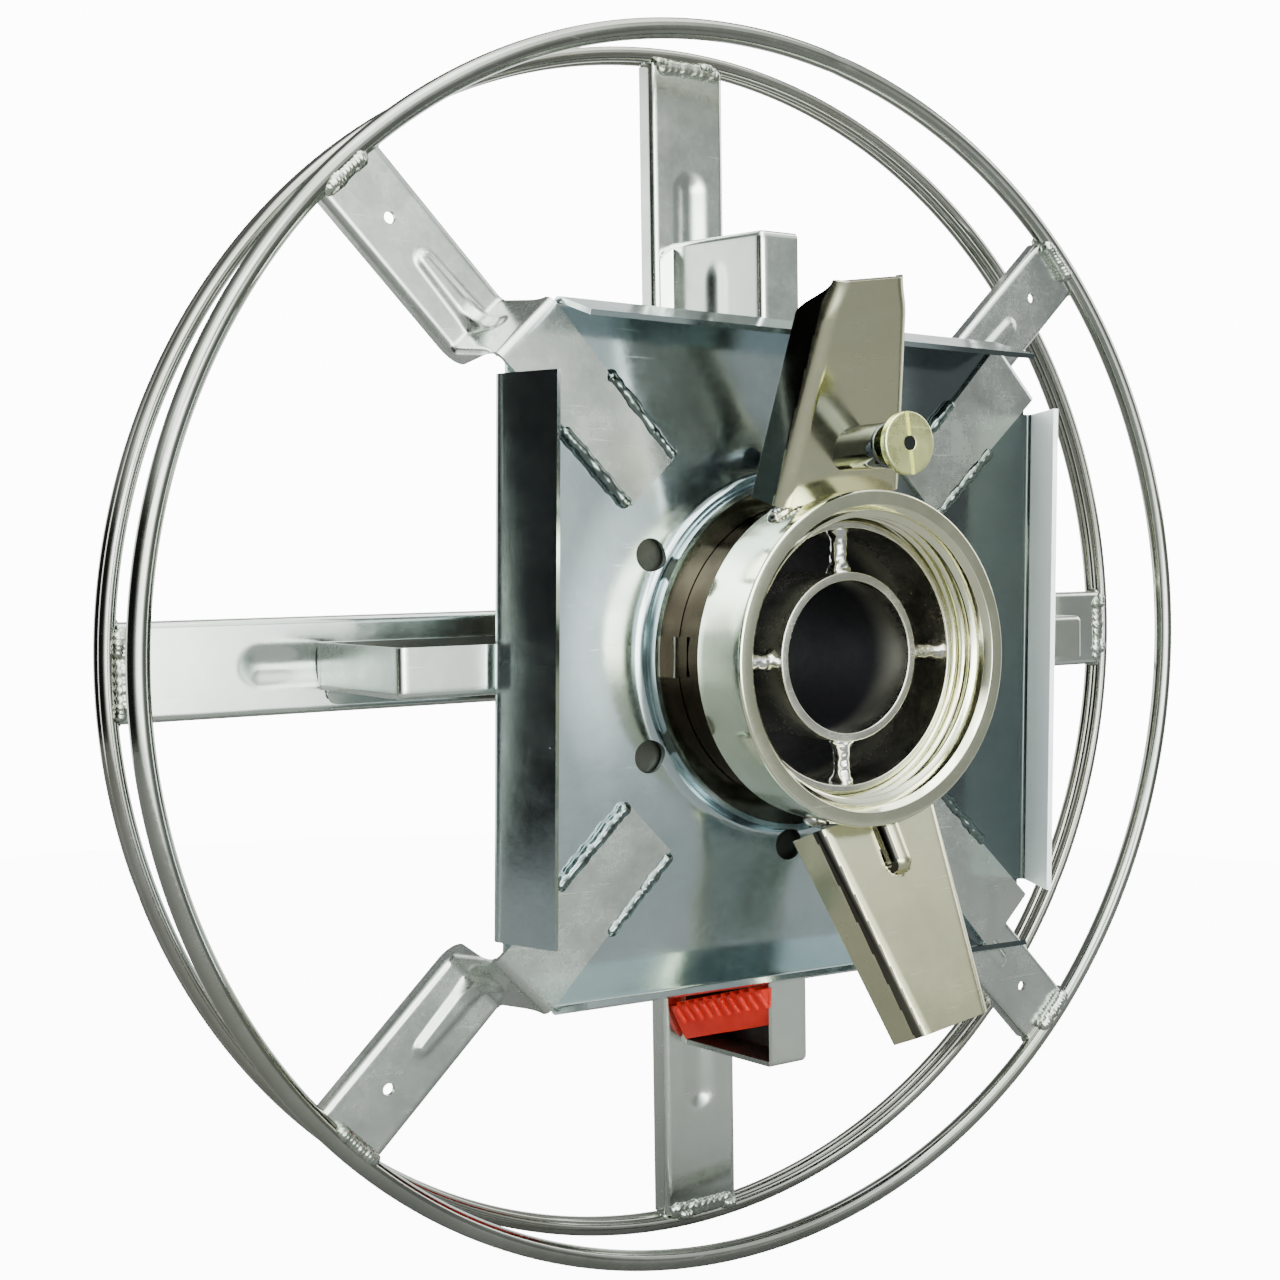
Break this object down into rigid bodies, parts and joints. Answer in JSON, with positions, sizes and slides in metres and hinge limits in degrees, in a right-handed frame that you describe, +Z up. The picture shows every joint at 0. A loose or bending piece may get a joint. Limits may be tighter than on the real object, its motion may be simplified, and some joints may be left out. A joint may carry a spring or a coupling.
{
  "type": "demountable hose reel",
  "caption": "Zinc-plated steel hose reel with round rims, cross arms and core brackets; its front flange is clamped by a winged nut on a threaded hub.",
  "frame": {"origin": "on the reel's axis, at the rear mouth of the shaft tube's bore", "axes": "+Y along the axis to the rear, +Z up; the front flange and the winged nut face -Y"},
  "size_m": [0.5, 0.1625, 0.4998],
  "materials": {
    "zinc": "satin",
    "zinc_wire": "satin",
    "dull_zinc": "matte",
    "yellow_zinc": "satin",
    "chrome": "gloss",
    "spring_steel": "satin",
    "red_plastic": "satin"
  },
  "bodies": {
    "rear_flange": {"rear_hoop_back": "zinc_wire", "rear_hoop_front": "zinc_wire", "rear_arm_top": "zinc", "rear_arm_left": "zinc", "rear_arm_bottom": "zinc", "rear_arm_right": "zinc", "core_bracket_top": "zinc", "core_bracket_left": "zinc", "core_bracket_bottom": "zinc", "core_bracket_right": "zinc", "threaded_hub_tube": "zinc", "shaft_tube": "zinc", "front_hub_spokes": "zinc", "rear_hub_spokes": "zinc", "red_grip_block": "red_plastic"},
    "front_flange": {"front_ring": "zinc_wire", "front_arm_upper_left": "zinc", "front_arm_lower_left": "zinc", "front_arm_lower_right": "zinc", "front_arm_upper_right": "zinc", "tray": "zinc", "index_plate": "dull_zinc", "retaining_ring": "zinc"},
    "winged_nut": {"lever_nut": "yellow_zinc", "upper_wing": "zinc", "lower_wing": "zinc", "lock_barrel": "chrome"},
    "lock_plunger": {"lock_pin": "chrome", "lock_knob": "yellow_zinc", "lock_spring": "spring_steel"}
  },
  "joints": [
    {"name": "flange_slide", "type": "slide", "parent": "rear_flange", "child": "front_flange", "axis": [0, -1, 0], "range_m": [0, 0.025]},
    {"name": "nut_turn", "type": "hinge", "parent": "front_flange", "child": "winged_nut", "pos_m": [0, -0.1, 0], "axis": [0, -1, 0], "range_deg": [0, 1800]},
    {"name": "plunger_slide", "type": "slide", "parent": "winged_nut", "child": "lock_plunger", "axis": [0, 1, 0], "range_m": [0, 0.007]}
  ],
  "couplings": [
    {"joint": "flange_slide", "follows": "nut_turn", "m_per_rad": 0.00079577}
  ]
}
